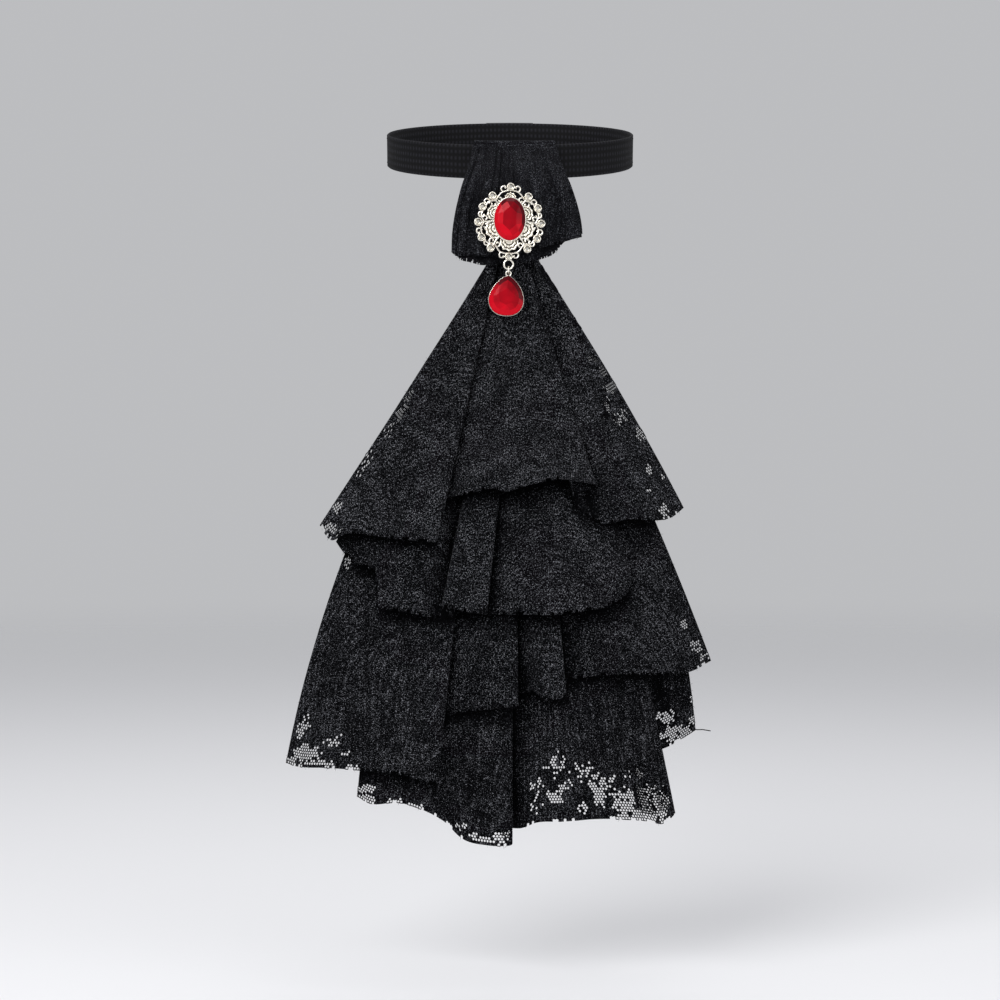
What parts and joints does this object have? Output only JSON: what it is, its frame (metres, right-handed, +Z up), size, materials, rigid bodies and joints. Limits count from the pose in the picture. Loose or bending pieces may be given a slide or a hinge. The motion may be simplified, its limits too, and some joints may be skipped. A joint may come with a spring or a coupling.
{
  "type": "lace jabot",
  "caption": "Black lace jabot: four gathered lace tiers under a pleated knot on a neck loop, with a pierced silver brooch, oval red stone and a swinging pear drop.",
  "frame": {"origin": "centre of the neck loop", "axes": "+Z up along the worn height, the wearer faces -Y, +X to the wearer's left"},
  "size_m": [0.1771, 0.1692, 0.3326],
  "materials": {
    "lace": "dull black crepe lace",
    "braid": "dull black woven band",
    "clasp_plastic": "matte black",
    "silver": "polished pale warm silver plating",
    "red_stone": "glossy foiled red acrylic, faceted",
    "crystal": "clear foiled crystal, faceted"
  },
  "bodies": {
    "jabot": {"tier_1": "lace", "tier_2": "lace", "tier_3": "lace", "tier_4": "lace", "knot_wrap": "lace", "knot_underlay": "lace", "neck_band": "braid", "neck_clasp": "clasp_plastic", "brooch_frame": "silver", "brooch_stone": "red_stone", "rhinestone_01": "crystal", "rhinestone_02": "crystal", "rhinestone_03": "crystal", "rhinestone_04": "crystal", "rhinestone_05": "crystal", "rhinestone_06": "crystal", "rhinestone_07": "crystal", "rhinestone_08": "crystal", "rhinestone_09": "crystal", "rhinestone_10": "crystal", "rhinestone_11": "crystal", "rhinestone_12": "crystal"},
    "ring": {"jump_ring": "silver"},
    "drop": {"drop_frame": "silver", "drop_stone": "red_stone"}
  },
  "joints": [
    {"name": "jump_ring_swing", "type": "hinge", "parent": "jabot", "child": "ring", "pos_m": [-0.00103, -0.07744, -0.06459], "axis": [-1, 0, 0], "range_deg": [0, 60]},
    {"name": "drop_swing", "type": "hinge", "parent": "ring", "child": "drop", "pos_m": [-0.00103, -0.07744, -0.06649], "axis": [0, 1, 0], "range_deg": [-35, 35]}
  ]
}
